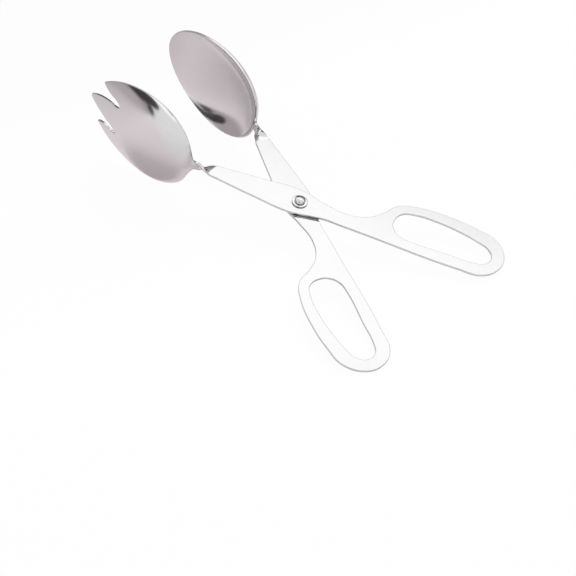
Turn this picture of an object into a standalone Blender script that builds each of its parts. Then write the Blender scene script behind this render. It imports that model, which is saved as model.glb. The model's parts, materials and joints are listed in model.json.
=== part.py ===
"""Scissor serving tongs: two stamped sheet-steel arms crossed on one domed rivet.

The fork arm lies on the spoon arm. Each arm is one flat blank with a closed finger loop, and
its neck is twisted a quarter turn, so that the spoon bowl and the fork head face each other.
Arm coordinates: origin on the rivet, +X along the shank towards the head, +Y towards the
shank's outer side, +Z up. The spoon arm is the mirror image of the fork arm, apart from its
head. The pair lies on a table on its lower rims and its handle ends, heads towards +X.
"""
import bpy
import bmesh
from math import acos, cos, pi, radians, sin, sqrt
from mathutils import Matrix, Vector

MM = 0.001

# Sheet and assembly
SHEET = 1.5 * MM
CLEARANCE = 0.3 * MM
HALF_OPENING = radians(23.4)
REST_PITCH = radians(8.28)

# Handle, measured from the rivet in the plane of the blank
HANDLE_LENGTH = 122.8 * MM
HANDLE_EDGE = 5.9 * MM
LOOP_DEPTH = 36.7 * MM
LOOP_LENGTH = 80.0 * MM
HANDLE_WAIST = 10.0 * MM
LOOP_END_STRIP = 7.7 * MM
LOOP_FRONT_STRIP = 12.1 * MM
LOOP_SIDE_STRIP = 7.0 * MM
LOOP_OUTER_STRIP = 7.3 * MM

# Shank and twisted neck
PIVOT_WIDTH = 19.4 * MM
SHANK_LENGTH = 49.5 * MM
SHANK_END_WIDTH = 9.9 * MM
NECK_LENGTH = 14.8 * MM
NECK_HEIGHT = 5.2 * MM
NECK_OFFSET = 0.7 * MM
NECK_TWIST = radians(90.0)
TWIST_DELAY = 1.8
TWIST_LAG = 0.2

# Heads: each rim lies in one plane that stands upright on the blank
SPOON_START = 67.8 * MM
SPOON_LENGTH = 79.2 * MM
FORK_START = 66.8 * MM
FORK_LENGTH = 76.4 * MM
HEAD_OFFSET = 2.4 * MM
HEAD_TURN = radians(18.9)
HEAD_RISE = radians(1.9)
HEAD_HEIGHT = 61.4 * MM
HEAD_DEPTH = 8.6 * MM
HEEL_LENGTH = 5.0 * MM
HEEL_LEAVE = 0.7
HEEL_FULLNESS = 0.12
HEEL_DEEPENING = 0.80
DISH_POWER = 0.80

# Fork slots, as shares of the fork's length and of half the head's height
SLOT_ROOT_SHARES = (0.690, 0.355)
SLOT_INNER_SHARES = ((0.722, 0.293), (0.800, 0.258), (0.875, 0.203), (0.945, 0.125), (1.0, 0.035))
SLOT_MOUTH_SHARES = ((1.08, 0.035), (1.08, 0.72), (0.96, 0.72))
SLOT_OUTER_SHARES = ((0.912, 0.545), (0.870, 0.472), (0.810, 0.427), (0.732, 0.412))

# Rivet, and the washer under its head
SHAFT_RADIUS = 2.2 * MM
SHAFT_GAP = 0.1 * MM
HOLE_RADIUS = SHAFT_RADIUS + SHAFT_GAP
DOME_RADIUS = 3.2 * MM
DOME_HEIGHT = 1.9 * MM
DOME_FULLNESS = 0.77
TAIL_RADIUS = 3.5 * MM
TAIL_HEIGHT = 1.0 * MM
WASHER_RADIUS = 4.7 * MM
WASHER_THICKNESS = 0.6 * MM

# Fineness of the solids, and the distance at which coincident points are joined
ACROSS = 12
CURVE_STEPS = 7
NECK_ROWS = 10
HEEL_ROWS = 5
HEAD_ROWS = 16
TURN_STEPS = 40
DOME_STEPS = 8
WELD = 0.001 * MM

# Places across the neck and the head, from the lower or inner edge to the upper or outer
SIDES = [2 * column / ACROSS - 1 for column in range(ACROSS + 1)]

# Colour and roughness of the polished steel
STEEL_FLAT = ((0.72, 0.71, 0.71, 1.0), 0.16)
STEEL_RIVET = ((0.72, 0.72, 0.72, 1.0), 0.08)


def clear_scene():
    for old in list(bpy.data.objects):
        bpy.data.objects.remove(old, do_unlink=True)


def new_collection(name):
    group = bpy.data.collections.new(name)
    bpy.context.scene.collection.children.link(group)
    return group


def steel(name, look):
    colour, roughness = look
    material = bpy.data.materials.new(name)
    material.use_nodes = True
    shader = material.node_tree.nodes["Principled BSDF"]
    shader.inputs["Base Color"].default_value = colour
    shader.inputs["Metallic"].default_value = 1.0
    shader.inputs["Roughness"].default_value = roughness
    return material


def filled_curve(name, loops, half_thickness=0.0):
    """A filled 2D curve. Each loop is a list of (x, y, is_corner) knots."""
    curve = bpy.data.curves.new(name, "CURVE")
    curve.dimensions = "2D"
    curve.fill_mode = "BOTH"
    curve.extrude = half_thickness
    for knots in loops:
        spline = curve.splines.new("BEZIER")
        spline.bezier_points.add(len(knots) - 1)
        spline.use_cyclic_u = True
        spline.resolution_u = CURVE_STEPS
        for point, (x, y, is_corner) in zip(spline.bezier_points, knots):
            point.co = (x, y, 0.0)
            handle = "VECTOR" if is_corner else "AUTO"
            point.handle_left_type = handle
            point.handle_right_type = handle
    return curve


def curve_to_mesh(curve):
    """The curve's evaluated mesh with its seams welded."""
    holder = bpy.data.objects.new(curve.name, curve)
    bpy.context.scene.collection.objects.link(holder)
    graph = bpy.context.evaluated_depsgraph_get()
    mesh = bpy.data.meshes.new_from_object(holder.evaluated_get(graph))
    bpy.data.objects.remove(holder, do_unlink=True)
    bpy.data.curves.remove(curve)
    made = bmesh.new()
    made.from_mesh(mesh)
    bmesh.ops.remove_doubles(made, verts=made.verts, dist=WELD)
    made.to_mesh(mesh)
    made.free()
    return mesh


def blank_outline():
    """Knots round the flat blank: neck line, outer side, handle loop, inner side."""
    neck = SHANK_END_WIDTH / 2
    pivot = PIVOT_WIDTH / 2
    edge = HANDLE_EDGE
    end = -HANDLE_LENGTH
    low = HANDLE_EDGE - LOOP_DEPTH
    waist = HANDLE_EDGE - HANDLE_WAIST
    mouth = LOOP_LENGTH - HANDLE_LENGTH
    neck_line = [(SHANK_LENGTH, neck * side, True) for side in SIDES]
    return neck_line + [
        (0.51 * SHANK_LENGTH, 0.82 * pivot, False),
        (0.042 * SHANK_LENGTH, pivot, False),
        (0.075 * end, 0.76 * pivot, False),
        (0.14 * end, edge, False),
        (0.22 * end, edge, False),
        (0.34 * end, edge, False),
        (0.80 * end, edge, False),
        (end + 0.12 * LOOP_LENGTH, 0.70 * edge, False),
        (end + 0.02 * LOOP_LENGTH, edge - 0.28 * LOOP_DEPTH, False),
        (end + 0.01 * LOOP_LENGTH, edge - 0.58 * LOOP_DEPTH, False),
        (end + 0.11 * LOOP_LENGTH, edge - 0.87 * LOOP_DEPTH, False),
        (end + 0.27 * LOOP_LENGTH, edge - 0.96 * LOOP_DEPTH, False),
        (end + 0.48 * LOOP_LENGTH, low, False),
        (end + 0.72 * LOOP_LENGTH, edge - 0.955 * LOOP_DEPTH, False),
        (mouth - 0.14 * LOOP_LENGTH, edge - 0.835 * LOOP_DEPTH, False),
        (mouth - 0.05 * LOOP_LENGTH, edge - 0.56 * LOOP_DEPTH, False),
        (mouth + 0.04 * LOOP_LENGTH, edge - 0.37 * LOOP_DEPTH, False),
        (0.22 * end, waist, False),
        (0.11 * end, 0.65 * waist - 0.35 * pivot, False),
        (0.042 * SHANK_LENGTH, -pivot, False),
        (0.51 * SHANK_LENGTH, -0.78 * pivot, False),
    ]


def finger_opening():
    """Knots round the finger opening, an egg with one nearly straight side."""
    back = LOOP_END_STRIP - HANDLE_LENGTH
    top = HANDLE_EDGE - LOOP_SIDE_STRIP
    length = LOOP_LENGTH - LOOP_END_STRIP - LOOP_FRONT_STRIP
    width = LOOP_DEPTH - LOOP_SIDE_STRIP - LOOP_OUTER_STRIP
    shares = (
        (1.000, -0.48), (0.975, -0.23), (0.900, -0.05), (0.780, 0.00), (0.410, -0.04),
        (0.135, -0.08), (0.045, -0.17), (0.000, -0.43), (0.050, -0.69), (0.200, -0.85),
        (0.385, -0.95), (0.600, -1.00), (0.830, -0.96), (0.950, -0.83),
    )
    return [(back + x * length, top + y * width, False) for x, y in shares]


def round_hole(radius):
    quarter = [pi / 2 * step for step in range(4)]
    return [(radius * cos(angle), radius * sin(angle), False) for angle in quarter]


def ease(share):
    return share * share * (3 - 2 * share)


def neck_row(share):
    """One line of points across the neck, share 0 at the shank, 1 at the head.

    The inner edge turns down first and the outer edge follows it.
    """
    narrowing = ease(min(1.15 * share, 1.0))
    width = SHANK_END_WIDTH + (NECK_HEIGHT - SHANK_END_WIDTH) * narrowing
    line = [Vector((0.0, 0.0, 0.0))]
    for column in range(ACROSS):
        lag = TWIST_LAG * (column + 0.5) / ACROSS
        progress = share ** TWIST_DELAY * (1 + TWIST_LAG) - lag
        twist = NECK_TWIST * ease(min(max(progress, 0.0), 1.0))
        line.append(line[-1] + Vector((0.0, cos(twist), sin(twist))) * (width / ACROSS))
    middle = sum(line, Vector((0.0, 0.0, 0.0))) / len(line)
    centre = Vector((SHANK_LENGTH + NECK_LENGTH * share, NECK_OFFSET * ease(share), 0.0))
    return [centre + point - middle for point in line]


def head_frame():
    """The head's axis, its upward direction and the direction of its back."""
    level = Vector((cos(HEAD_TURN), -sin(HEAD_TURN), 0.0))
    back = Vector((sin(HEAD_TURN), cos(HEAD_TURN), 0.0))
    axis = level * cos(HEAD_RISE) + Vector((0.0, 0.0, sin(HEAD_RISE)))
    return axis, axis.cross(back), back


def head_point(start, length, along, side):
    """A point of the dished head; side runs from -1 at the lower rim to 1 at the upper."""
    axis, up, back = head_frame()
    place = 2 * along / length - 1
    girth = max(1 - place * place, 0.0)
    half = HEAD_HEIGHT / 2 * sqrt(girth) * (1 - HEEL_FULLNESS * place)
    hollow = (girth * max(1 - side * side, 0.0)) ** DISH_POWER
    dish = HEAD_DEPTH * hollow * (1 - HEEL_DEEPENING * place)
    heel = Vector((start, HEAD_OFFSET, 0.0))
    return heel + axis * along + up * (half * side) + back * dish


def heel_rows(start, length):
    """Smooth lines from the end of the neck into the dish, one Hermite curve a column."""
    first = neck_row(1.0)
    rows = []
    for row in range(1, HEEL_ROWS):
        share = row / HEEL_ROWS
        line = []
        for side, begin in zip(SIDES, first):
            finish = head_point(start, length, HEEL_LENGTH, side)
            ahead = head_point(start, length, 1.02 * HEEL_LENGTH, side)
            reach = (finish - begin).length
            leave = Vector((HEEL_LEAVE * reach, 0.0, 0.0))
            arrive = (ahead - finish).normalized() * reach
            line.append(
                begin * (1 - ease(share))
                + finish * ease(share)
                + leave * (share * (1 - share) ** 2)
                - arrive * (share * share * (1 - share))
            )
        rows.append(line)
    return rows


def head_rows(start, length):
    """Lines across the dish, spaced like points round a circle, without the tip."""
    first = acos(1 - 2 * HEEL_LENGTH / length)
    rows = []
    for row in range(HEAD_ROWS):
        turn = first + (pi - first) * row / HEAD_ROWS
        along = length * (1 - cos(turn)) / 2
        rows.append([head_point(start, length, along, side) for side in SIDES])
    return rows


def arm_mesh(name, start, length, mirrored):
    """The arm's middle surface: flat blank, twisted neck and dished head in one sheet."""
    outlines = [blank_outline(), finger_opening(), round_hole(HOLE_RADIUS)]
    mesh = curve_to_mesh(filled_curve(name, outlines))
    sheet = bmesh.new()
    sheet.from_mesh(mesh)
    rows = [neck_row(row / NECK_ROWS) for row in range(NECK_ROWS + 1)]
    rows += heel_rows(start, length) + head_rows(start, length)
    lines = [[sheet.verts.new(point) for point in row] for row in rows]
    for near, far in zip(lines, lines[1:]):
        for i in range(ACROSS):
            sheet.faces.new((near[i], far[i], far[i + 1], near[i + 1]))
    tip = sheet.verts.new(head_point(start, length, length, 0.0))
    for i in range(ACROSS):
        sheet.faces.new((lines[-1][i], tip, lines[-1][i + 1]))
    bmesh.ops.remove_doubles(sheet, verts=sheet.verts, dist=WELD)
    if mirrored:
        bmesh.ops.scale(sheet, vec=(1.0, -1.0, 1.0), verts=sheet.verts)
        bmesh.ops.reverse_faces(sheet, faces=sheet.faces)
    sheet.to_mesh(mesh)
    sheet.free()
    return mesh


def add_part(name, mesh, material, group, parent):
    part = bpy.data.objects.new(name, mesh)
    part.data.materials.clear()
    part.data.materials.append(material)
    part.parent = parent
    group.objects.link(part)
    return part


def add_arm(name, start, length, mirrored, group, parent):
    mesh = arm_mesh(name, start, length, mirrored)
    part = add_part(name, mesh, steel(name, STEEL_FLAT), group, parent)
    shell = part.modifiers.new("sheet thickness", "SOLIDIFY")
    shell.thickness = SHEET
    shell.offset = 0.0
    shell.use_even_offset = True
    shell.use_quality_normals = True
    for face in part.data.polygons:
        face.use_smooth = True
    part.data.set_sharp_from_angle(angle=radians(35.0))
    level = (SHEET + CLEARANCE) / 2
    part.location = (0.0, 0.0, -level if mirrored else level)
    part.rotation_euler = (0.0, 0.0, -HALF_OPENING if mirrored else HALF_OPENING)
    return part


def cut_slots(arm, cutters):
    """Cut the two V slots that leave three tines."""
    half = HEAD_HEIGHT / 2
    shares = (SLOT_ROOT_SHARES,) + SLOT_INNER_SHARES + SLOT_MOUTH_SHARES + SLOT_OUTER_SHARES
    axis, up, back = head_frame()
    for name, way in (("upper slot", 1.0), ("lower slot", -1.0)):
        knots = [(FORK_LENGTH * x, way * half * y, x >= 0.96) for x, y in shares]
        mesh = curve_to_mesh(filled_curve(name, [knots], 2.5 * HEAD_DEPTH))
        cutter = bpy.data.objects.new(name, mesh)
        cutters.objects.link(cutter)
        turn = Matrix((axis, up, -back)).transposed().to_4x4()
        cutter.parent = arm
        cutter.matrix_local = Matrix.Translation((FORK_START, HEAD_OFFSET, 0.0)) @ turn
        cutter.display_type = "WIRE"
        cutter.hide_render = True
        cut = arm.modifiers.new(name, "BOOLEAN")
        cut.operation = "DIFFERENCE"
        cut.object = cutter


def turned(name, profile, material, group, parent, closed=False):
    """A solid of revolution about Z from (radius, height) points, outer side downwards."""
    mesh = bpy.data.meshes.new(name)
    points = [(radius, 0.0, height) for radius, height in profile]
    edges = [(i, i + 1) for i in range(len(points) - 1)]
    if closed:
        edges.append((len(points) - 1, 0))
    mesh.from_pydata(points, edges, [])
    part = add_part(name, mesh, material, group, parent)
    screw = part.modifiers.new("turn", "SCREW")
    screw.steps = TURN_STEPS
    screw.render_steps = TURN_STEPS
    screw.use_merge_vertices = True
    screw.merge_threshold = WELD
    screw.use_smooth_shade = True
    return part


def add_rivet(group, parent):
    under_head = SHEET + CLEARANCE / 2 + CLEARANCE + WASHER_THICKNESS + CLEARANCE
    above_tail = -(SHEET + CLEARANCE / 2 + CLEARANCE)
    profile = []
    for step in range(DOME_STEPS + 1):
        bend = pi / 2 * step / DOME_STEPS
        reach = DOME_RADIUS * sin(bend) ** DOME_FULLNESS
        profile.append((reach, under_head + DOME_HEIGHT * cos(bend) ** DOME_FULLNESS))
    profile += [
        (SHAFT_RADIUS, under_head),
        (SHAFT_RADIUS, above_tail),
        (TAIL_RADIUS, above_tail),
        (TAIL_RADIUS, above_tail - TAIL_HEIGHT / 2),
        (TAIL_RADIUS - TAIL_HEIGHT / 2, above_tail - TAIL_HEIGHT),
        (0.0, above_tail - TAIL_HEIGHT),
    ]
    return turned("pivot_rivet", profile, steel("pivot_rivet", STEEL_RIVET), group, parent)


def add_washer(group, parent):
    low = SHEET + CLEARANCE / 2 + CLEARANCE
    high = low + WASHER_THICKNESS
    profile = [
        (HOLE_RADIUS, high),
        (WASHER_RADIUS - WASHER_THICKNESS / 4, high),
        (WASHER_RADIUS, high - WASHER_THICKNESS / 4),
        (WASHER_RADIUS, low),
        (HOLE_RADIUS, low),
    ]
    material = steel("head_washer", STEEL_RIVET)
    return turned("head_washer", profile, material, group, parent, closed=True)


def seat_on_table(attitude, group):
    """Put the middle of the pair's box over the origin, with its lowest point at Z zero."""
    bpy.context.view_layer.update()
    graph = bpy.context.evaluated_depsgraph_get()
    corners = []
    for part in group.objects:
        shape = part.evaluated_get(graph)
        corners += [shape.matrix_world @ vertex.co for vertex in shape.to_mesh().vertices]
        shape.to_mesh_clear()
    low = Vector([min(corner[i] for corner in corners) for i in range(3)])
    high = Vector([max(corner[i] for corner in corners) for i in range(3)])
    attitude.location = (-(low.x + high.x) / 2, -(low.y + high.y) / 2, -low.z)


def main():
    clear_scene()
    group = new_collection("scissor_serving_tongs")
    cutters = new_collection("cutters")
    attitude = bpy.data.objects.new("rest_attitude", None)
    attitude.empty_display_size = PIVOT_WIDTH
    attitude.rotation_euler = (0.0, -REST_PITCH, 0.0)
    bpy.context.scene.collection.objects.link(attitude)
    add_arm("spoon_arm", SPOON_START, SPOON_LENGTH, True, group, attitude)
    fork = add_arm("fork_arm", FORK_START, FORK_LENGTH, False, group, attitude)
    cut_slots(fork, cutters)
    add_rivet(group, attitude)
    add_washer(group, attitude)
    seat_on_table(attitude, group)


main()
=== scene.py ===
"""Visual model of a pair of stainless scissor serving tongs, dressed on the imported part.

Each arm is rebuilt as one fine sheet: flat blank, twisted neck and dished head, given its
thickness and rounded edges. Arm coordinates: origin on the rivet, +X along the shank towards the
head, +Y towards the shank's outer side, +Z up. All sizes are in metres unless a name says so.
"""

import json
from math import acos, cos, pi, radians, sin, sqrt

import bmesh
import bpy
from mathutils import Matrix, Vector
from mathutils.geometry import delaunay_2d_cdt
from mathutils.kdtree import KDTree


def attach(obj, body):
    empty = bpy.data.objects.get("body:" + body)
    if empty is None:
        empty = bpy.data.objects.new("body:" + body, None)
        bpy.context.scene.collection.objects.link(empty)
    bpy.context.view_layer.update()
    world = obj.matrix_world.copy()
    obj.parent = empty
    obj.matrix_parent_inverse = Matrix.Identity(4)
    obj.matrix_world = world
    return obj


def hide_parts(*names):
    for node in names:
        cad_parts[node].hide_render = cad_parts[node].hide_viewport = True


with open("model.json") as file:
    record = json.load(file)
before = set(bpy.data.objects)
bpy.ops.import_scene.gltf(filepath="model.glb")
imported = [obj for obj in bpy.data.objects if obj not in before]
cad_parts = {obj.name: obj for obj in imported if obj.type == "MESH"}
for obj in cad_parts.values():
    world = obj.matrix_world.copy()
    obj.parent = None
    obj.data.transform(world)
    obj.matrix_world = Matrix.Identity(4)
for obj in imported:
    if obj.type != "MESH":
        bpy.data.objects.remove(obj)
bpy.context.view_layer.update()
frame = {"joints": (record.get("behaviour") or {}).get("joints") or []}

MM = 0.001

# Sheet and assembly
SHEET = 1.5 * MM
CLEARANCE = 0.3 * MM
HALF_OPENING = radians(23.4)
EDGE_RADIUS = 0.34 * MM

# Flat blank
HANDLE_LENGTH = 122.8 * MM
HANDLE_EDGE = 5.9 * MM
LOOP_DEPTH = 36.7 * MM
LOOP_LENGTH = 80.0 * MM
HANDLE_WAIST = 10.0 * MM
LOOP_END_STRIP = 7.7 * MM
LOOP_FRONT_STRIP = 12.1 * MM
LOOP_SIDE_STRIP = 7.0 * MM
LOOP_OUTER_STRIP = 7.3 * MM
PIVOT_WIDTH = 19.4 * MM
SHANK_LENGTH = 49.5 * MM
SHANK_END_WIDTH = 9.9 * MM

# Twisted neck
NECK_LENGTH = 14.8 * MM
NECK_HEIGHT = 5.2 * MM
NECK_OFFSET = 0.7 * MM
NECK_TWIST = radians(90.0)
TWIST_DELAY = 1.8
TWIST_LAG = 0.2

# Heads
SPOON_START = 67.8 * MM
SPOON_LENGTH = 79.2 * MM
FORK_START = 66.8 * MM
FORK_LENGTH = 76.4 * MM
HEAD_OFFSET = 2.4 * MM
HEAD_TURN = radians(18.9)
HEAD_RISE = radians(1.9)
HEAD_HEIGHT = 61.4 * MM
HEAD_DEPTH = 8.6 * MM
HEEL_LENGTH = 5.0 * MM
HEEL_LEAVE = 0.7
HEEL_FULLNESS = 0.12
HEEL_DEEPENING = 0.80
DISH_POWER = 0.80

# Fork slots, as shares of the fork's length and of half the head's height
SLOT_ROOT_SHARES = (0.690, 0.355)
SLOT_INNER_SHARES = ((0.722, 0.293), (0.800, 0.258), (0.875, 0.203), (0.945, 0.125), (1.0, 0.035))
SLOT_MOUTH_SHARES = ((1.08, 0.035), (1.08, 0.72), (0.96, 0.72))
SLOT_OUTER_SHARES = ((0.912, 0.545), (0.870, 0.472), (0.810, 0.427), (0.732, 0.412))

# Rivet and washer
SHAFT_RADIUS = 2.2 * MM
HOLE_RADIUS = 2.3 * MM
DOME_RADIUS = 3.2 * MM
DOME_HEIGHT = 1.9 * MM
DOME_FULLNESS = 0.77
TAIL_RADIUS = 3.5 * MM
TAIL_HEIGHT = 1.0 * MM
WASHER_RADIUS = 4.7 * MM
WASHER_THICKNESS = 0.6 * MM

# Finish: cloudiness, wipe marks and wave are noises, by scale and by the range they use
STEEL_COLOUR = (0.70, 0.70, 0.70)
SHEET_ROUGHNESS = 0.10
SHEET_GRAIN = (1.0, 0.07, 1.0)
SHEET_WAVE = 0.03 * MM
RIVET_ROUGHNESS = 0.06
CLOUD_SCALE = 45.0
CLOUD_RANGE = (0.30, 0.70)
CLOUD_SHADE = 0.965
MARKS_SCALE = 900.0
MARKS_RANGE = (0.35, 0.70)
MARKS_DULLING = 1.5
MARKS_STRENGTH = 0.25
MARKS_DEPTH = 0.01 * MM
WAVE_SCALE = 55.0

# Fineness
ACROSS = 36
CURVE_STEPS = 26
NECK_ROWS = 26
HEEL_ROWS = 14
HEAD_ROWS = 64
ROUND_STEPS = 5
TURN_STEPS = 96
WELD = 0.0005 * MM

SIDES = [2 * column / ACROSS - 1 for column in range(ACROSS + 1)]


# ---------------------------------------------------------------- the sheet's shape

def ease(share):
    return share * share * (3 - 2 * share)


def curve_points(knots):
    """Points round a closed smooth curve through (x, y, is_corner) knots."""
    curve = bpy.data.curves.new("outline", "CURVE")
    curve.dimensions = "2D"
    curve.fill_mode = "NONE"
    spline = curve.splines.new("BEZIER")
    spline.bezier_points.add(len(knots) - 1)
    spline.use_cyclic_u = True
    spline.resolution_u = CURVE_STEPS
    for point, (x, y, is_corner) in zip(spline.bezier_points, knots):
        point.co = (x, y, 0.0)
        handle = "VECTOR" if is_corner else "AUTO"
        point.handle_left_type = handle
        point.handle_right_type = handle
    holder = bpy.data.objects.new("outline", curve)
    bpy.context.scene.collection.objects.link(holder)
    graph = bpy.context.evaluated_depsgraph_get()
    mesh = holder.evaluated_get(graph).to_mesh()
    points = [vertex.co.copy() for vertex in mesh.vertices]
    bpy.data.objects.remove(holder, do_unlink=True)
    bpy.data.curves.remove(curve)
    return [Vector((point.x, point.y)) for point in points]


def blank_outline():
    neck = SHANK_END_WIDTH / 2
    pivot = PIVOT_WIDTH / 2
    edge = HANDLE_EDGE
    end = -HANDLE_LENGTH
    low = HANDLE_EDGE - LOOP_DEPTH
    waist = HANDLE_EDGE - HANDLE_WAIST
    mouth = LOOP_LENGTH - HANDLE_LENGTH
    neck_line = [(SHANK_LENGTH, neck * side, True) for side in SIDES]
    return neck_line + [
        (0.51 * SHANK_LENGTH, 0.82 * pivot, False),
        (0.042 * SHANK_LENGTH, pivot, False),
        (0.075 * end, 0.76 * pivot, False),
        (0.14 * end, edge, False),
        (0.22 * end, edge, False),
        (0.34 * end, edge, False),
        (0.80 * end, edge, False),
        (end + 0.12 * LOOP_LENGTH, 0.70 * edge, False),
        (end + 0.02 * LOOP_LENGTH, edge - 0.28 * LOOP_DEPTH, False),
        (end + 0.01 * LOOP_LENGTH, edge - 0.58 * LOOP_DEPTH, False),
        (end + 0.11 * LOOP_LENGTH, edge - 0.87 * LOOP_DEPTH, False),
        (end + 0.27 * LOOP_LENGTH, edge - 0.96 * LOOP_DEPTH, False),
        (end + 0.48 * LOOP_LENGTH, low, False),
        (end + 0.72 * LOOP_LENGTH, edge - 0.955 * LOOP_DEPTH, False),
        (mouth - 0.14 * LOOP_LENGTH, edge - 0.835 * LOOP_DEPTH, False),
        (mouth - 0.05 * LOOP_LENGTH, edge - 0.56 * LOOP_DEPTH, False),
        (mouth + 0.04 * LOOP_LENGTH, edge - 0.37 * LOOP_DEPTH, False),
        (0.22 * end, waist, False),
        (0.11 * end, 0.65 * waist - 0.35 * pivot, False),
        (0.042 * SHANK_LENGTH, -pivot, False),
        (0.51 * SHANK_LENGTH, -0.78 * pivot, False),
    ]


def finger_opening():
    back = LOOP_END_STRIP - HANDLE_LENGTH
    top = HANDLE_EDGE - LOOP_SIDE_STRIP
    length = LOOP_LENGTH - LOOP_END_STRIP - LOOP_FRONT_STRIP
    width = LOOP_DEPTH - LOOP_SIDE_STRIP - LOOP_OUTER_STRIP
    shares = (
        (1.000, -0.48), (0.975, -0.23), (0.900, -0.05), (0.780, 0.00), (0.410, -0.04),
        (0.135, -0.08), (0.045, -0.17), (0.000, -0.43), (0.050, -0.69), (0.200, -0.85),
        (0.385, -0.95), (0.600, -1.00), (0.830, -0.96), (0.950, -0.83),
    )
    return [(back + x * length, top + y * width, False) for x, y in shares]


def rivet_hole():
    quarter = [pi / 2 * step for step in range(4)]
    return [(HOLE_RADIUS * cos(turn), HOLE_RADIUS * sin(turn), False) for turn in quarter]


def neck_row(share):
    """One line of points across the neck, share 0 at the shank, 1 at the head.

    The inner edge turns down first and the outer edge follows it.
    """
    narrowing = ease(min(1.15 * share, 1.0))
    width = SHANK_END_WIDTH + (NECK_HEIGHT - SHANK_END_WIDTH) * narrowing
    line = [Vector((0.0, 0.0, 0.0))]
    for column in range(ACROSS):
        lag = TWIST_LAG * (column + 0.5) / ACROSS
        progress = share ** TWIST_DELAY * (1 + TWIST_LAG) - lag
        twist = NECK_TWIST * ease(min(max(progress, 0.0), 1.0))
        line.append(line[-1] + Vector((0.0, cos(twist), sin(twist))) * (width / ACROSS))
    middle = sum(line, Vector((0.0, 0.0, 0.0))) / len(line)
    centre = Vector((SHANK_LENGTH + NECK_LENGTH * share, NECK_OFFSET * ease(share), 0.0))
    return [centre + point - middle for point in line]


def head_frame():
    level = Vector((cos(HEAD_TURN), -sin(HEAD_TURN), 0.0))
    back = Vector((sin(HEAD_TURN), cos(HEAD_TURN), 0.0))
    axis = level * cos(HEAD_RISE) + Vector((0.0, 0.0, sin(HEAD_RISE)))
    return axis, axis.cross(back), back


def half_height(length, along):
    place = 2 * along / length - 1
    return HEAD_HEIGHT / 2 * sqrt(max(1 - place * place, 0.0)) * (1 - HEEL_FULLNESS * place)


def head_point(start, length, along, side):
    axis, up, back = head_frame()
    place = 2 * along / length - 1
    girth = max(1 - place * place, 0.0)
    hollow = (girth * max(1 - side * side, 0.0)) ** DISH_POWER
    dish = HEAD_DEPTH * hollow * (1 - HEEL_DEEPENING * place)
    heel = Vector((start, HEAD_OFFSET, 0.0))
    return heel + axis * along + up * (half_height(length, along) * side) + back * dish


def head_normal(start, length, along, side):
    """The hollow side's normal, taken a little inside the rim where the dish is steepest."""
    step = 0.02 * MM
    inner = 0.55 * MM
    along = min(along, length - inner)
    half = half_height(length, along)
    limit = max(1 - inner / max(half, inner), 0.0)
    side = max(-limit, min(limit, side))
    there = [
        head_point(start, length, along + step, side * half / half_height(length, along + step)),
        head_point(start, length, along - step, side * half / half_height(length, along - step)),
        head_point(start, length, along, side + step / half),
        head_point(start, length, along, side - step / half),
    ]
    return (there[0] - there[1]).cross(there[2] - there[3]).normalized()


def heel_rows(start, length):
    first = neck_row(1.0)
    rows = []
    for row in range(1, HEEL_ROWS):
        share = row / HEEL_ROWS
        line = []
        for side, begin in zip(SIDES, first):
            finish = head_point(start, length, HEEL_LENGTH, side)
            ahead = head_point(start, length, 1.02 * HEEL_LENGTH, side)
            reach = (finish - begin).length
            leave = Vector((HEEL_LEAVE * reach, 0.0, 0.0))
            arrive = (ahead - finish).normalized() * reach
            line.append(
                begin * (1 - ease(share))
                + finish * ease(share)
                + leave * (share * (1 - share) ** 2)
                - arrive * (share * share * (1 - share))
            )
        rows.append(line)
    return rows


def slot_outlines():
    half = HEAD_HEIGHT / 2
    shares = (SLOT_ROOT_SHARES,) + SLOT_INNER_SHARES + SLOT_MOUTH_SHARES + SLOT_OUTER_SHARES
    loops = []
    for way in (1.0, -1.0):
        knots = [(FORK_LENGTH * x, way * half * y, x >= 0.96) for x, y in shares]
        loops.append(curve_points(knots))
    return loops


# ---------------------------------------------------------------- filling flat regions

def inside(point, loop):
    crossings = False
    for a, b in zip(loop, loop[1:] + loop[:1]):
        if (a.y > point.y) != (b.y > point.y):
            if point.x < (b.x - a.x) * (point.y - a.y) / (b.y - a.y) + a.x:
                crossings = not crossings
    return crossings


def fill(outer, holes, extra=()):
    """Triangles inside the outer loop and outside the holes, with their corner points."""
    points = []
    edges = []
    for loop in [outer] + holes:
        first = len(points)
        points += loop
        count = len(loop)
        edges += [(first + i, first + (i + 1) % count) for i in range(count)]
    points += list(extra)
    corners, _, faces, _, _, _ = delaunay_2d_cdt(points, edges, [], 0, 1e-8)
    kept = []
    for face in faces:
        middle = sum((corners[i] for i in face), Vector((0.0, 0.0))) / len(face)
        if inside(middle, outer) and not any(inside(middle, hole) for hole in holes):
            kept.append(face)
    return corners, kept


def inner_points(length, loops, slots):
    """Rows of points over the head, clear of its edges."""
    edge = []
    for loop in loops:
        for a, b in zip(loop, loop[1:] + loop[:1]):
            steps = max(int((b - a).length / (0.25 * MM)), 1)
            edge += [a.lerp(b, step / steps) for step in range(steps)]
    tree = KDTree(len(edge))
    for i, point in enumerate(edge):
        tree.insert((point.x, point.y, 0.0), i)
    tree.balance()
    first = acos(1 - 2 * HEEL_LENGTH / length)
    found = []
    for row in range(1, HEAD_ROWS):
        turn = first + (pi - first) * row / HEAD_ROWS
        along = length * (1 - cos(turn)) / 2
        half = half_height(length, along)
        for column in range(1, ACROSS):
            point = Vector((along, -half * cos(pi * column / ACROSS)))
            if any(inside(point, slot) for slot in slots):
                continue
            if tree.find((point.x, point.y, 0.0))[2] > 0.7 * MM:
                found.append(point)
    return found


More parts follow.
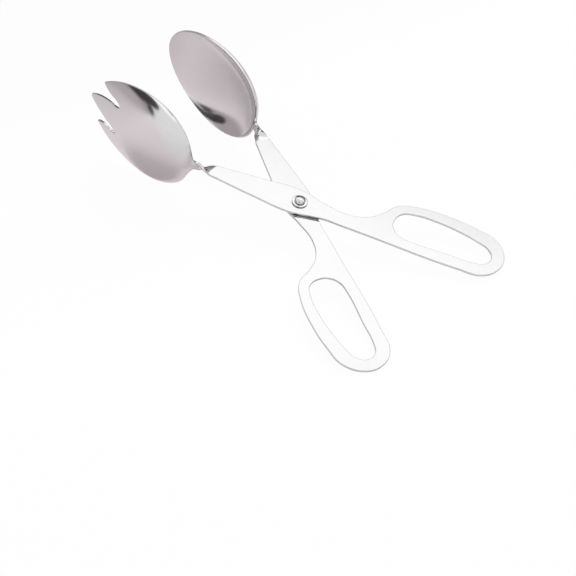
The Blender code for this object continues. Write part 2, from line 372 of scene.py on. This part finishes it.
def head_region(start, length, slots):
    """The dished head as a list of 3D corners, their normals and triangles."""
    first = acos(1 - 2 * HEEL_LENGTH / length)
    count = 2 * HEAD_ROWS
    turns = [first + (pi - first) * row / count for row in range(1, count)]
    alongs = [length * (1 - cos(turn)) / 2 for turn in turns]
    upper = [Vector((along, half_height(length, along))) for along in alongs]
    heel_half = half_height(length, HEEL_LENGTH)
    heel = [Vector((HEEL_LENGTH, heel_half * side)) for side in SIDES]
    tip = [Vector((length, 0.0))]
    lower = [Vector((point.x, -point.y)) for point in reversed(upper)]
    rim = heel + upper + tip + lower
    corners, faces = fill(rim, slots, inner_points(length, [rim] + slots, slots))
    places = []
    normals = []
    for corner in corners:
        along = min(max(corner.x, 0.0), length)
        half = max(half_height(length, along), 0.001 * MM)
        side = max(-1.0, min(1.0, corner.y / half))
        places.append(head_point(start, length, along, side))
        normals.append(head_normal(start, length, max(along, HEEL_LENGTH), side))
    return places, normals, faces


# ---------------------------------------------------------------- thickness and edges

def thicken(name, sheet, known, home):
    """A closed solid from a sheet: two faces, a wall between them and rounded edges."""
    sheet.normal_update()
    half = SHEET / 2
    verts = []
    normals = []
    faces = []

    def put(place, normal):
        verts.append(place)
        normals.append(normal)
        return len(verts) - 1

    top, bottom, ring = {}, {}, {}
    for vert in sheet.verts:
        key = vert.index
        normal = known.get(key, vert.normal)
        if not vert.is_boundary:
            top[key] = put(vert.co + normal * half, normal)
            bottom[key] = put(vert.co - normal * half, -normal)
            continue
        outs = []
        for edge in vert.link_edges:
            if edge.is_boundary:
                along = (edge.verts[1].co - edge.verts[0].co).normalized()
                out = along.cross(normal).normalized()
                centre = edge.link_faces[0].calc_center_median()
                if out.dot(centre - edge.verts[0].co) > 0:
                    out.negate()
                outs.append(out)
        outward = (outs[0] + outs[1]).normalized()
        miter = 1 / max(outward.dot(outs[0]), 0.45)
        inset = outward * (EDGE_RADIUS * miter)
        column = []
        for face_way in (1.0, -1.0):
            part = []
            for step in range(ROUND_STEPS + 1):
                turn = pi / 2 * step / ROUND_STEPS
                level = half - EDGE_RADIUS + EDGE_RADIUS * cos(turn)
                place = vert.co - inset * (1 - sin(turn)) + normal * (face_way * level)
                direction = outward * sin(turn) + normal * (face_way * cos(turn))
                part.append(put(place, direction))
            column += part if face_way > 0 else list(reversed(part))
        ring[key] = column
        top[key] = column[0]
        bottom[key] = column[-1]
    for face in sheet.faces:
        keys = [vert.index for vert in face.verts]
        faces.append([top[key] for key in keys])
        faces.append([bottom[key] for key in reversed(keys)])
        for loop in face.loops:
            if loop.edge.is_boundary:
                near = ring[loop.vert.index]
                far = ring[loop.link_loop_next.vert.index]
                for i in range(len(near) - 1):
                    faces.append((near[i], near[i + 1], far[i + 1], far[i]))
    turn = home.to_3x3()
    if turn.determinant() < 0:
        faces = [tuple(reversed(face)) for face in faces]
    mesh = bpy.data.meshes.new(name)
    mesh.from_pydata([home @ vert for vert in verts], [], faces)
    mesh.validate()
    for polygon in mesh.polygons:
        polygon.use_smooth = True
    mesh.normals_split_custom_set_from_vertices([turn @ normal for normal in normals])
    return mesh


def arm_mesh(name, start, length, slots, place):
    outline = curve_points(blank_outline())
    corners, flats = fill(outline, [curve_points(finger_opening()), curve_points(rivet_hole())])
    places, normals, dish = head_region(start, length, slots)
    sheet = bmesh.new()
    mark = sheet.verts.layers.float_vector.new("normal")
    plate = [sheet.verts.new((corner.x, corner.y, 0.0)) for corner in corners]
    for vert in plate:
        vert[mark] = (0.0, 0.0, 1.0)
    for face in flats:
        sheet.faces.new([plate[i] for i in face])
    rows = [neck_row(row / NECK_ROWS) for row in range(NECK_ROWS + 1)]
    rows += heel_rows(start, length)
    rows.append([head_point(start, length, HEEL_LENGTH, side) for side in SIDES])
    lines = [[sheet.verts.new(point) for point in row] for row in rows]
    for near, far in zip(lines, lines[1:]):
        for i in range(ACROSS):
            sheet.faces.new((near[i], far[i], far[i + 1], near[i + 1]))
    bowl = [sheet.verts.new(place) for place in places]
    for vert, normal in zip(bowl, normals):
        vert[mark] = normal
    for face in dish:
        sheet.faces.new([bowl[i] for i in face])
    loose = [vert for vert in sheet.verts if not vert.link_faces]
    bmesh.ops.delete(sheet, geom=loose, context="VERTS")
    bmesh.ops.remove_doubles(sheet, verts=sheet.verts, dist=WELD)
    bmesh.ops.recalc_face_normals(sheet, faces=sheet.faces)
    sheet.faces.ensure_lookup_table()
    flat_face = max(sheet.faces, key=lambda face: face.calc_area())
    if flat_face.normal.z < 0:
        bmesh.ops.reverse_faces(sheet, faces=sheet.faces)
    sheet.normal_update()
    sheet.verts.index_update()
    known = {}
    for vert in sheet.verts:
        given = Vector(vert[mark])
        if given.length > 0.5:
            known[vert.index] = given * (1 if given.dot(vert.normal) > 0 else -1)
    mesh = thicken(name, sheet, known, place)
    sheet.free()
    return mesh


# ---------------------------------------------------------------- turned pieces

def turned(name, profile, place, closed=False):
    """A solid of revolution about the rivet's axis from (radius, height) points."""
    shape = bmesh.new()
    verts = [shape.verts.new((radius, 0.0, height)) for radius, height in profile]
    pairs = list(zip(verts, verts[1:]))
    if closed:
        pairs.append((verts[-1], verts[0]))
    edges = [shape.edges.new(pair) for pair in pairs]
    bmesh.ops.spin(
        shape, geom=verts + edges, cent=(0, 0, 0), axis=(0, 0, 1),
        angle=2 * pi, steps=TURN_STEPS, use_merge=True,
    )
    bmesh.ops.remove_doubles(shape, verts=shape.verts, dist=WELD)
    bmesh.ops.recalc_face_normals(shape, faces=shape.faces)
    mesh = bpy.data.meshes.new(name)
    shape.to_mesh(mesh)
    shape.free()
    mesh.transform(place)
    for polygon in mesh.polygons:
        polygon.use_smooth = True
    mesh.set_sharp_from_angle(angle=radians(40.0))
    return mesh


def quarter_round(radius, height, size, start, end, steps=6):
    """Points of a rounded corner centred at (radius, height)."""
    turns = [radians(start + (end - start) * step / steps) for step in range(steps + 1)]
    return [(radius + size * cos(turn), height + size * sin(turn)) for turn in turns]


def rivet_profile():
    under_head = SHEET + CLEARANCE / 2 + CLEARANCE + WASHER_THICKNESS + CLEARANCE
    above_tail = -(SHEET + CLEARANCE / 2 + CLEARANCE)
    lip = 0.25 * MM
    points = [(0.0, under_head + DOME_HEIGHT)]
    for step in range(1, 21):
        turn = pi / 2 * step / 20
        rise = (DOME_HEIGHT - lip) * cos(turn) ** DOME_FULLNESS
        points.append((DOME_RADIUS * sin(turn) ** DOME_FULLNESS, under_head + lip + rise))
    points += quarter_round(DOME_RADIUS - lip, under_head + lip, lip, 0, -90)
    points += [(SHAFT_RADIUS, under_head), (SHAFT_RADIUS, above_tail)]
    points += quarter_round(TAIL_RADIUS - lip, above_tail - lip, lip, 90, 0)
    points += quarter_round(TAIL_RADIUS - TAIL_HEIGHT / 2, above_tail - TAIL_HEIGHT / 2,
                            TAIL_HEIGHT / 2, 0, -90)
    points.append((0.0, above_tail - TAIL_HEIGHT))
    return points


def washer_profile():
    low = SHEET + CLEARANCE / 2 + CLEARANCE
    high = low + WASHER_THICKNESS
    lip = 0.15 * MM
    return (
        [(HOLE_RADIUS, low), (HOLE_RADIUS, high)]
        + quarter_round(WASHER_RADIUS - 2 * lip, high - 2 * lip, 2 * lip, 90, 0)
        + quarter_round(WASHER_RADIUS - lip, low + lip, lip, 0, -90)
    )


# ---------------------------------------------------------------- materials

def node(tree, kind, **settings):
    made = tree.nodes.new(kind)
    for key, value in settings.items():
        setattr(made, key, value)
    return made


def noise(tree, vector, scale, detail):
    made = node(tree, "ShaderNodeTexNoise")
    made.inputs["Scale"].default_value = scale
    made.inputs["Detail"].default_value = detail
    tree.links.new(vector, made.inputs["Vector"])
    return made.outputs["Fac"]


def bump(tree, height, strength, distance):
    made = node(tree, "ShaderNodeBump")
    made.inputs["Strength"].default_value = strength
    made.inputs["Distance"].default_value = distance
    tree.links.new(height, made.inputs["Height"])
    return made


def steel(name, roughness, home, grain=(1.0, 1.0, 1.0), wave=0.0):
    """Polished stainless steel with fine wipe marks, faint cloudiness and a slight wave."""
    material = bpy.data.materials.new(name)
    material.use_nodes = True
    tree = material.node_tree
    shader = tree.nodes["Principled BSDF"]
    shader.inputs["Metallic"].default_value = 1.0
    place = node(tree, "ShaderNodeTexCoord").outputs["Object"]

    tint = node(tree, "ShaderNodeValToRGB")
    cloudy, clear = tint.color_ramp.elements
    cloudy.position, clear.position = CLOUD_RANGE
    cloudy.color = [CLOUD_SHADE * channel for channel in STEEL_COLOUR] + [1.0]
    clear.color = list(STEEL_COLOUR) + [1.0]
    tree.links.new(noise(tree, place, CLOUD_SCALE, 3.0), tint.inputs["Fac"])
    tree.links.new(tint.outputs["Color"], shader.inputs["Base Color"])

    stretch = node(tree, "ShaderNodeMapping", vector_type="TEXTURE")
    stretch.inputs["Location"].default_value = home.translation
    stretch.inputs["Rotation"].default_value = home.to_euler()
    stretch.inputs["Scale"].default_value = grain
    tree.links.new(place, stretch.inputs["Vector"])
    marks = noise(tree, stretch.outputs["Vector"], MARKS_SCALE, 4.0)
    dull = node(tree, "ShaderNodeMapRange")
    dull.inputs["From Min"].default_value = MARKS_RANGE[0]
    dull.inputs["From Max"].default_value = MARKS_RANGE[1]
    dull.inputs["To Min"].default_value = roughness
    dull.inputs["To Max"].default_value = MARKS_DULLING * roughness
    tree.links.new(marks, dull.inputs["Value"])
    tree.links.new(dull.outputs["Result"], shader.inputs["Roughness"])

    low = bump(tree, noise(tree, place, WAVE_SCALE, 1.0), 1.0, wave)
    fine = bump(tree, marks, MARKS_STRENGTH, MARKS_DEPTH)
    tree.links.new(low.outputs["Normal"], fine.inputs["Normal"])
    tree.links.new(fine.outputs["Normal"], shader.inputs["Normal"])
    return material


# ---------------------------------------------------------------- the object

def attitude():
    """The frame of the arms' plane: its origin on the rivet, its Z along the rivet's axis."""
    joint = frame["joints"][0]
    up = Vector(joint["axis"]).normalized()
    left = Vector((0.0, 1.0, 0.0))
    ahead = left.cross(up).normalized()
    turn = Matrix((ahead, left, up)).transposed().to_4x4()
    return Matrix.Translation(Vector(joint["pos_m"])) @ turn


def add_piece(name, mesh, material, body, replaced):
    piece = bpy.data.objects.new(name, mesh)
    bpy.context.scene.collection.objects.link(piece)
    piece.data.materials.append(material)
    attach(piece, body)
    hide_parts(replaced)


def build_object():
    seat = attitude()
    level = Matrix.Translation((0.0, 0.0, (SHEET + CLEARANCE) / 2))
    mirror = Matrix.Diagonal((1.0, -1.0, 1.0, 1.0))
    fork_place = seat @ level @ Matrix.Rotation(HALF_OPENING, 4, "Z")
    spoon_place = seat @ level.inverted() @ Matrix.Rotation(-HALF_OPENING, 4, "Z")
    fork = arm_mesh("fork_arm_sheet", FORK_START, FORK_LENGTH, slot_outlines(), fork_place)
    spoon = arm_mesh("spoon_arm_sheet", SPOON_START, SPOON_LENGTH, [], spoon_place @ mirror)
    fork_steel = steel("fork_steel", SHEET_ROUGHNESS, fork_place, SHEET_GRAIN, SHEET_WAVE)
    spoon_steel = steel("spoon_steel", SHEET_ROUGHNESS, spoon_place, SHEET_GRAIN, SHEET_WAVE)
    rivet_steel = steel("rivet_steel", RIVET_ROUGHNESS, seat)
    rivet = turned("rivet_turned", rivet_profile(), seat)
    washer = turned("washer_turned", washer_profile(), seat, closed=True)
    add_piece("fork_arm_sheet", fork, fork_steel, "fork_side", "fork_arm")
    add_piece("spoon_arm_sheet", spoon, spoon_steel, "spoon_side", "spoon_arm")
    add_piece("rivet_turned", rivet, rivet_steel, "spoon_side", "pivot_rivet")
    add_piece("washer_turned", washer, rivet_steel, "spoon_side", "head_washer")


# ---------------------------------------------------------------- camera and light

CAMERA_PLACE = Vector((-407.0, 673.1, 827.8)) * MM
CAMERA_RIGHT = Vector((-0.7310, -0.6608, 0.1701))
CAMERA_UP = Vector((0.5942, -0.4939, 0.6348))
CAMERA_LENS = 122.85

# Directions are (azimuth, elevation) in the arms' plane, 0 along the tongs, 90 to the left.
# Light levels: 1 is white.
LIGHT_WAY = (-57.0, 47.5)
LAMP_DISTANCE = 1.5
LAMP_SIZE = 1.2
LAMP_WATTS = 9.0

# The softbox: its light is even between its inner edges and fades towards its outer ones,
# which are given as shares of its own width and height.
SOFTBOX_LIGHT = 1.45
SOFTBOX_DISTANCE = 1.6
SOFTBOX_WIDTH = 2.4
SOFTBOX_HEIGHT = 0.72
SOFTBOX_SIDE_FADE = (0.38, 0.50)
SOFTBOX_TOP_FADE = (0.19, 0.46)
SOFTBOX_FOOT_FADE = (-0.38, -0.08)

# The floor, in metres from the middle or ahead of it
FLOOR_SIZE = 6.0
FLOOR_DROP = 0.2 * MM
FLOOR_ROUGHNESS = 0.9
FLOOR_WHITE = (0.97, 0.97, 0.97, 1.0)
FLOOR_TINT = (0.97, 0.885, 0.905, 1.0)
# Painted shade: the floor's colour darkens to this grey ahead of the heads, so that the metal
# reflects a shaded floor there.
FLOOR_PAINTED_SHADE = (0.57, 0.515, 0.53, 1.0)
PAINTED_SHADE_WAY = (-19.0, 0.0)
TINT_START = (-0.06, 0.03)
TINT_END = (0.3, 0.8)
PAINTED_SHADE_START = (0.09, 0.19)
# Painted light: to glossy rays the floor glows with its tinted colour and painted shade, from the
# first share near the middle to the second far out.
MIRROR_START = (0.08, 0.32)
MIRROR_SHARES = (0.12, 0.95)
CAMERA_SHARE = 0.96

# The studio as metal shows it. Zones are azimuth, elevation, outer and inner angle.
PLAIN_LIGHT = 0.64
AMBIENT = 0.36
DARK = 0.07
WARM_COLOUR = (1.0, 0.89, 0.92, 1.0)
WARM_ZONE = (25.0, -10.0, 60.0, 40.0)
WARM_LIGHT = 0.48
BACK_ZONE = (-130.0, 20.0, 60.0, 40.0)
BACK_LIGHT = 0.12
UNDER_ZONE = (-60.0, 14.0, 36.0, 26.0)
WHITE_FROM_SINES = (0.42, 0.56)
BRIGHT_ZONE = (120.0, 0.0, 54.0, 42.0)
BRIGHT_TOP = (34.0, 46.0)
STRIP_ZONE = (70.0, 0.0, 62.0, 52.0)
STRIP_FOOT = (27.0, 32.0)
STRIP_TOP = (43.0, 46.0)
STRIP_LIGHT = 1.35
DARK_ZONES = (
    ((112.0, 56.0, 20.0, 13.0), 0.05),
    ((70.5, 3.0, 6.0, 2.0), 0.06),
    ((57.0, 7.0, 9.0, 7.0), 0.06),
    ((63.0, 14.0, 11.0, 8.0), 0.06),
    ((71.0, 19.0, 10.0, 7.0), 0.06),
)


def add_camera(seat):
    lens = bpy.data.cameras.new("camera")
    lens.lens = CAMERA_LENS
    lens.sensor_width = 36.0
    lens.clip_start = 0.01
    lens.clip_end = 50.0
    camera = bpy.data.objects.new("camera", lens)
    bpy.context.scene.collection.objects.link(camera)
    back = CAMERA_RIGHT.cross(CAMERA_UP).normalized()
    turn = Matrix((CAMERA_RIGHT, CAMERA_UP, back)).transposed().to_4x4()
    camera.matrix_world = seat @ Matrix.Translation(CAMERA_PLACE) @ turn
    bpy.context.scene.camera = camera


def toward(azimuth, elevation):
    a, e = radians(azimuth), radians(elevation)
    way = Vector((cos(a) * cos(e), sin(a) * cos(e), sin(e)))
    return attitude().to_3x3() @ way


def add_stage_piece(name, mesh, material):
    piece = bpy.data.objects.new(name, mesh)
    bpy.context.scene.collection.objects.link(piece)
    piece.data.materials.append(material)
    return piece


def grid(name, size):
    shape = bmesh.new()
    bmesh.ops.create_grid(shape, x_segments=1, y_segments=1, size=size / 2)
    mesh = bpy.data.meshes.new(name)
    shape.to_mesh(mesh)
    shape.free()
    return mesh


def scaled(tree, value, limits, start, end):
    """A smooth step: start below the lower limit, end above the upper one."""
    step = node(tree, "ShaderNodeMapRange", interpolation_type="SMOOTHSTEP")
    step.inputs["From Min"].default_value = limits[0]
    step.inputs["From Max"].default_value = limits[1]
    step.inputs["To Min"].default_value = start
    step.inputs["To Max"].default_value = end
    tree.links.new(value, step.inputs["Value"])
    return step.outputs["Result"]


def calc(tree, operation, *values):
    made = node(tree, "ShaderNodeMath", operation=operation)
    for socket, value in zip(made.inputs, values):
        if isinstance(value, float):
            socket.default_value = value
        else:
            tree.links.new(value, socket)
    return made.outputs["Value"]


def dot(tree, vector, direction):
    made = node(tree, "ShaderNodeVectorMath", operation="DOT_PRODUCT")
    tree.links.new(vector, made.inputs[0])
    made.inputs[1].default_value = direction
    return made.outputs["Value"]


def blend(tree, share, one, other):
    """one where the share is 0, other where it is 1."""
    made = node(tree, "ShaderNodeMix")
    for key, value in (("Factor", share), ("A", one), ("B", other)):
        if isinstance(value, float):
            made.inputs[key].default_value = value
        else:
            tree.links.new(value, made.inputs[key])
    return made.outputs["Result"]


def mix_colour(tree, share, one, other):
    """one where the share is 0, other where it is 1. The sockets go by number: names repeat."""
    made = node(tree, "ShaderNodeMix", data_type="RGBA")
    for key, value in ((0, share), (6, one), (7, other)):
        if isinstance(value, tuple):
            made.inputs[key].default_value = value
        else:
            tree.links.new(value, made.inputs[key])
    return made.outputs[2]


def add_softbox():
    """The backdrop panel of light beyond the tongs that the flats reflect."""
    material = bpy.data.materials.new("softbox")
    material.use_nodes = True
    tree = material.node_tree
    tree.nodes.clear()
    out = node(tree, "ShaderNodeOutputMaterial")
    light = node(tree, "ShaderNodeEmission")
    axes = node(tree, "ShaderNodeSeparateXYZ")
    tree.links.new(node(tree, "ShaderNodeTexCoord").outputs["Object"], axes.inputs["Vector"])
    across = calc(tree, "ABSOLUTE", axes.outputs["X"])
    wide = scaled(tree, across, SOFTBOX_SIDE_FADE, 1.0, 0.0)
    above = scaled(tree, axes.outputs["Y"], SOFTBOX_TOP_FADE, SOFTBOX_LIGHT, 1.0)
    below = scaled(tree, axes.outputs["Y"], SOFTBOX_FOOT_FADE, DARK, SOFTBOX_LIGHT)
    level = calc(tree, "MINIMUM", above, below)
    tree.links.new(blend(tree, wide, 1.0, level), light.inputs["Strength"])
    tree.links.new(light.outputs["Emission"], out.inputs["Surface"])
    panel = add_stage_piece("softbox", grid("softbox", 1.0), material)
    way = toward(*LIGHT_WAY)
    panel.location = way * SOFTBOX_DISTANCE
    panel.rotation_euler = way.to_track_quat("Z", "Y").to_euler()
    panel.scale = (SOFTBOX_WIDTH, SOFTBOX_HEIGHT, 1.0)
    panel.visible_camera = False


def add_floor():
    """White to the camera, with a faint shadow; to metal it glows, more the farther out, with a
    pale tint and with painted shade ahead of the heads.
    """
    material = bpy.data.materials.new("floor")
    material.use_nodes = True
    tree = material.node_tree
    shader = tree.nodes["Principled BSDF"]
    shader.inputs["Roughness"].default_value = FLOOR_ROUGHNESS
    place = node(tree, "ShaderNodeTexCoord").outputs["Object"]
    away = node(tree, "ShaderNodeVectorMath", operation="LENGTH")
    tree.links.new(place, away.inputs[0])
    far = away.outputs["Value"]
    ahead = dot(tree, place, toward(*PAINTED_SHADE_WAY))
    near = scaled(tree, far, TINT_END, 1.0, 0.0)
    pink = calc(tree, "MULTIPLY", near, scaled(tree, ahead, TINT_START, 0.0, 1.0))
    tint = mix_colour(tree, pink, FLOOR_WHITE, FLOOR_TINT)
    # Painted shade: the floor's colour darkens ahead of the heads.
    shade = scaled(tree, ahead, PAINTED_SHADE_START, 0.0, 1.0)
    tint_and_painted_shade = mix_colour(tree, shade, tint, FLOOR_PAINTED_SHADE)
    tree.links.new(tint_and_painted_shade, shader.inputs["Base Color"])
    path = node(tree, "ShaderNodeLightPath")
    seen = path.outputs["Is Camera Ray"]
    mirrored = calc(tree, "ADD", path.outputs["Is Glossy Ray"], path.outputs["Is Transmission Ray"])
    # The floor's glow: white to the camera, and painted light in its tinted, shaded colour to
    # glossy rays.
    white = node(tree, "ShaderNodeEmission")
    tree.links.new(mix_colour(tree, seen, tint_and_painted_shade, (1.0, 1.0, 1.0, 1.0)), white.inputs["Color"])
    fade = scaled(tree, far, MIRROR_START, *MIRROR_SHARES)
    shown = calc(tree, "MULTIPLY", seen, CAMERA_SHARE)
    mix = node(tree, "ShaderNodeMixShader")
    tree.links.new(calc(tree, "MULTIPLY_ADD", mirrored, fade, shown), mix.inputs["Fac"])
    tree.links.new(shader.outputs["BSDF"], mix.inputs[1])
    tree.links.new(white.outputs["Emission"], mix.inputs[2])
    tree.links.new(mix.outputs["Shader"], tree.nodes["Material Output"].inputs["Surface"])
    floor = add_stage_piece("floor", grid("floor", FLOOR_SIZE), material)
    floor.location.z = -FLOOR_DROP


def add_world():
    """White to the camera. Metal shows it white above, and grey to dark round the horizon."""
    world = bpy.data.worlds.new("studio")
    world.use_nodes = True
    bpy.context.scene.world = world
    tree = world.node_tree
    way = node(tree, "ShaderNodeTexCoord").outputs["Generated"]
    up = dot(tree, way, toward(0.0, 90.0))

    def zone(azimuth, elevation, outer, inner):
        limits = (cos(radians(outer)), cos(radians(inner)))
        return scaled(tree, dot(tree, way, toward(azimuth, elevation)), limits, 0.0, 1.0)

    def height(low, high, start, end):
        return scaled(tree, up, (sin(radians(low)), sin(radians(high))), start, end)

    warm_side = zone(*WARM_ZONE)
    studio = blend(tree, warm_side, AMBIENT, WARM_LIGHT)
    studio = blend(tree, zone(*BACK_ZONE), studio, BACK_LIGHT)
    studio = blend(tree, zone(*UNDER_ZONE), studio, DARK)
    studio = blend(tree, scaled(tree, up, WHITE_FROM_SINES, 0.0, 1.0), studio, 1.0)
    bright = calc(tree, "MULTIPLY", zone(*BRIGHT_ZONE), height(*BRIGHT_TOP, 1.0, 0.0))
    studio = blend(tree, bright, studio, 1.0)
    rows = calc(tree, "MULTIPLY", height(*STRIP_FOOT, 0.0, 1.0), height(*STRIP_TOP, 1.0, 0.0))
    studio = blend(tree, calc(tree, "MULTIPLY", rows, zone(*STRIP_ZONE)), studio, STRIP_LIGHT)
    for place, level in DARK_ZONES:
        studio = blend(tree, zone(*place), studio, level)

    path = node(tree, "ShaderNodeLightPath")
    seen = calc(tree, "ADD", path.outputs["Is Camera Ray"], path.outputs["Is Transmission Ray"])
    plain = blend(tree, seen, PLAIN_LIGHT, 1.0)
    mirrored = path.outputs["Is Glossy Ray"]
    background = tree.nodes["Background"]
    tree.links.new(blend(tree, mirrored, plain, studio), background.inputs["Strength"])
    warm = calc(tree, "MULTIPLY", mirrored, warm_side)
    colour = mix_colour(tree, warm, (1.0, 1.0, 1.0, 1.0), WARM_COLOUR)
    tree.links.new(colour, background.inputs["Color"])


def add_lamp():
    """The soft light from beyond the tongs, for the floor and its shadows."""
    data = bpy.data.lights.new("lamp", "AREA")
    data.shape = "DISK"
    data.size = LAMP_SIZE
    data.energy = LAMP_WATTS
    lamp = bpy.data.objects.new("lamp", data)
    bpy.context.scene.collection.objects.link(lamp)
    way = toward(*LIGHT_WAY)
    lamp.location = way * LAMP_DISTANCE
    lamp.rotation_euler = way.to_track_quat("Z", "Y").to_euler()
    lamp.visible_camera = False
    lamp.visible_glossy = False


build_object()
add_camera(attitude())
add_world()
add_floor()
add_softbox()
add_lamp()
bpy.context.scene.view_settings.view_transform = "Standard"
